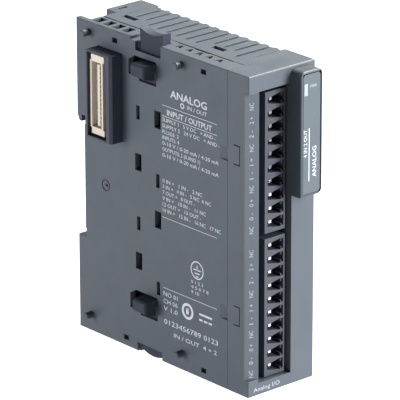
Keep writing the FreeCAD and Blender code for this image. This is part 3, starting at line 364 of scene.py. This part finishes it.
def print_side():
    """White printing on the left cover: generic words, numbers and symbols."""
    side = Print("side_print", INK)
    side.text(LEFT_SIDE, (0, 31.0, 76.9), "ANALOG", 2.0, 14.6, bold=0.02)
    side.ring(LEFT_SIDE, (0, 26.2, 75.6), 0.8, 0.45)
    side.text(LEFT_SIDE, (0, 24.2, 75.1), "IN / OUT", 1.1, 7.8)
    for height in (73.85, 70.85, 42.1, 21.8):
        side.bar(LEFT_SIDE, (0, 34.4, height), 22.0, 0.16)
    side.text(LEFT_SIDE, (0, 32.4, 71.5), "INPUT / OUTPUT", 1.55, 18.0, bold=0.02)
    lines = (
        (34.3, 69.4, "SUPPLY 1   5 V DC   + AND -", 21.4),
        (34.3, 67.7, "SUPPLY 2   24 V DC   + AND -", 23.0),
        (34.3, 66.0, "PLUGS: 2", 6.6),
        (34.3, 64.4, "INPUTS: 4", 6.8),
        (34.3, 62.8, "0-10 V / 0-20 mA / 4-20 mA", 22.6),
        (34.3, 61.1, "OUTPUTS: 2 (0 AND 1)", 15.2),
        (34.3, 59.4, "0-10 V / 0-20 mA / 4-20 mA", 22.6),
    )
    for back, height, words, length in lines:
        side.text(LEFT_SIDE, (0, back, height), words, 1.05, length)
    rows = ("0 IN +   1 IN -   2 NC", "3 IN +   4 IN -   5 NC  6 NC", "7 OUT +   8 OUT -",
            "9 IN +   10 IN -   11 NC", "12 OUT +   13 OUT -", "14 IN +   15 IN -   16 NC   17 NC")
    lengths = (16.0, 19.5, 13.0, 17.5, 15.5, 23.5)
    for step, (words, length) in enumerate(zip(rows, lengths)):
        side.text(LEFT_SIDE, (0, 34.3, 52.1 - 1.68 * step), words, 1.05, length)
    side.ring(LEFT_SIDE, (0, 20.4, 30.7), 2.6, 2.25)
    side.bar(LEFT_SIDE, (0, 21.9, 30.6), 3.0, 0.35)
    side.bar(LEFT_SIDE, (0, 21.4, 29.6), 2.0, 0.35)
    side.bar(LEFT_SIDE, (0, 20.9, 28.7), 1.0, 0.35)
    side.bar(LEFT_SIDE, (0, 20.58, 30.6), 0.35, 1.5)
    for step, (words, length) in enumerate((("0 1 2 3", 4.8), ("4 5 6 7 8", 7.0), ("9 10", 3.2))):
        side.text(LEFT_SIDE, (0, 22.8, 26.6 - 1.5 * step), words, 0.9, length)
    for step, words in enumerate(("NO 01", "CH 06", "V 1.0")):
        side.text(LEFT_SIDE, (0, 34.2, 19.6 - 2.1 * step), words, 1.25, 5.8)
    side.ring(LEFT_SIDE, (0, 24.3, 17.8), 2.35, 1.6)
    side.text(LEFT_SIDE, (0, 25.0, 17.0), "i", 1.7, 1.2, bold=0.03)
    side.bar(LEFT_SIDE, (0, 19.6, 18.2), 5.2, 0.55)
    for step in range(3):
        side.bar(LEFT_SIDE, (0, 19.6 - 1.9 * step, 16.6), 1.4, 0.55)
    side.text(LEFT_SIDE, (0, 34.0, 11.5), "0123456789 0123", 1.45, 22.0)
    side.text(LEFT_SIDE, (0, 30.0, 8.6), "IN / OUT  4 + 2", 1.2, 17.5)
    return side.finish()


def print_front():
    """Words on the label plate."""
    front = Print("front_print", INK)
    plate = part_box("label_plate")[0]
    depth = (plate.y - CORNER.y) / MM
    front.bar(FRONT, (17.5, depth, 58.4), 0.28, 14.8)
    front.text(FRONT, (16.9, depth, 65.3), "4 IN 2 OUT", 1.2, 7.7, turned=True)
    front.text(FRONT, (20.2, depth, 59.3), "ANALOG", 1.35, 8.6, bold=0.01, turned=True)
    return front.finish()


def print_strip():
    """Fainter printing: a mark beside each pin, the lamp's mark and the words at the bottom."""
    marks = Print("strip_print", FAINT_INK)
    low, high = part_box("terminal_label")
    across = Vector((high.x - low.x, -STRIP_FALL * MM, 0))
    slope = across.normalized()
    normal = slope.cross(Vector((0, 0, 1)))
    face = Matrix((slope, (0, 0, 1), normal)).transposed().to_4x4()
    words = ("NC", "0 -", "0 +", "NC", "1 -", "1 +", "NC", "2 -", "2 +", "NC")
    for pins in ("pins_lower", "pins_upper"):
        bottom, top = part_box(pins)
        first = (bottom.z - CORNER.z) / MM + PIN_HALF
        last = (top.z - CORNER.z) / MM - PIN_HALF
        for step, word in enumerate(words):
            height = first + (last - first) * step / (len(words) - 1)
            depth = STRIP_FALL - MARK_ACROSS * STRIP_FALL / STRIP_WIDTH
            start = (MARK_ACROSS, depth, height - MARK_BELOW)
            marks.text(face, start, word, 1.15, 2.0, turned=True)
    depth = (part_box("label_plate")[0].y - CORNER.y) / MM
    marks.text(FRONT, (18.0, depth, 84.3), "PWR", 0.8, 2.2)
    marks.text(FRONT, (2.0, 0, 1.2), "Analog I/O", 1.2, 9.4)
    return marks.finish()


print_side()
print_front()
print_strip()


# ---------------------------------------------------------------- studio

# The floor lies this many millimetres below the module at rest.
FLOOR_DROP = 9.2
FLOOR_SIZE = 30
FLOOR_DARK = (0.20, 0.20, 0.20, 1)
FLOOR_PALE = (0.205, 0.205, 0.205, 1)
# The lights point at the middle of the module.
AIM = case(11.8, 35, 45)
# The world lights the scene faintly, and is pale where it is seen behind the floor.
WORLD_COLOUR = (0.95, 0.97, 1.0, 1)
WORLD_LIGHT = 0.03
WORLD_SEEN = 1.0
# Camera: degrees round, above and about its own axis, place in metres, lens in millimetres.
AZIMUTH = -41.28
ELEVATION = 20.12
ROLL = -0.123
CAMERA_PLACE = (-0.67472, -0.80275, 0.37422)
FOCAL_LENGTH = 363.33
SENSOR_WIDTH = 36


def make_floor():
    """Plain pale floor, low enough for the rail clip at the end of its travel."""
    height = cad_low.z - FLOOR_DROP * MM
    bpy.ops.mesh.primitive_plane_add(size=FLOOR_SIZE, location=(0, 0, height))
    floor = bpy.context.object
    floor.name = "floor"
    made = Material("floor_white")
    base = made.mix(made.remap(made.noise(0.4), 0, 1), FLOOR_DARK, FLOOR_PALE)
    made.links.new(base, made.surface.inputs["Base Color"])
    made.links.new(made.remap(made.noise(0.1), 0.85, 0.95), made.surface.inputs["Roughness"])
    made.surface.inputs["Specular IOR Level"].default_value = 0.0
    made.surface.inputs["Emission Color"].default_value = (1, 1, 1, 1)
    made.surface.inputs["Emission Strength"].default_value = 1.0
    floor.data.materials.append(made.material)


def make_light(name, place, size, power, colour=(1, 1, 1)):
    """Soft area light aimed at the middle of the module."""
    lamp = bpy.data.lights.new(name, "AREA")
    lamp.shape = "RECTANGLE"
    lamp.size, lamp.size_y = size
    lamp.energy = power
    lamp.color = colour
    holder = bpy.data.objects.new(name, lamp)
    holder.location = place
    holder.rotation_mode = "QUATERNION"
    holder.rotation_quaternion = (AIM - Vector(place)).to_track_quat("-Z", "Y")
    bpy.context.scene.collection.objects.link(holder)


def make_camera():
    """Long lens from the front left, a little above."""
    azimuth = math.radians(AZIMUTH)
    elevation = math.radians(ELEVATION)
    roll = math.radians(ROLL)
    back = Vector((
        math.sin(azimuth) * math.cos(elevation),
        -math.cos(azimuth) * math.cos(elevation),
        math.sin(elevation),
    ))
    right = (-back).cross(Vector((0, 0, 1))).normalized()
    up = right.cross(-back)
    turned_right = math.cos(roll) * right + math.sin(roll) * up
    turned_up = math.cos(roll) * up - math.sin(roll) * right
    place = Matrix((turned_right, turned_up, back)).transposed().to_4x4()
    place.translation = CAMERA_PLACE
    lens = bpy.data.cameras.new("camera")
    lens.sensor_width = SENSOR_WIDTH
    lens.lens = FOCAL_LENGTH
    lens.clip_start = 0.05
    lens.clip_end = 100
    camera = bpy.data.objects.new("camera", lens)
    camera.matrix_world = place
    bpy.context.scene.collection.objects.link(camera)
    bpy.context.scene.camera = camera


def make_world():
    """Faint light from all around, with a pale backdrop where the camera sees past the floor."""
    world = bpy.data.worlds.new("studio")
    world.use_nodes = True
    nodes = world.node_tree.nodes
    links = world.node_tree.links
    background = nodes["Background"]
    background.inputs["Color"].default_value = WORLD_COLOUR
    strength = nodes.new("ShaderNodeMapRange")
    strength.inputs["To Min"].default_value = WORLD_LIGHT
    strength.inputs["To Max"].default_value = WORLD_SEEN
    seen = nodes.new("ShaderNodeLightPath").outputs["Is Camera Ray"]
    links.new(seen, strength.inputs["Value"])
    links.new(strength.outputs["Result"], background.inputs["Strength"])
    bpy.context.scene.world = world


make_floor()
make_light("top_light", (0.45, -0.05, 0.62), (0.5, 0.5), 25, (1.0, 0.95, 0.86))
make_light("front_light", (0.40, -0.85, 0.28), (0.36, 0.7), 21, (0.97, 0.99, 1.0))
make_light("side_light", (-0.75, 0.42, 0.16), (0.45, 0.45), 6.2, (0.94, 0.97, 1.04))
make_world()
bpy.context.scene.view_settings.view_transform = "Standard"
make_camera()
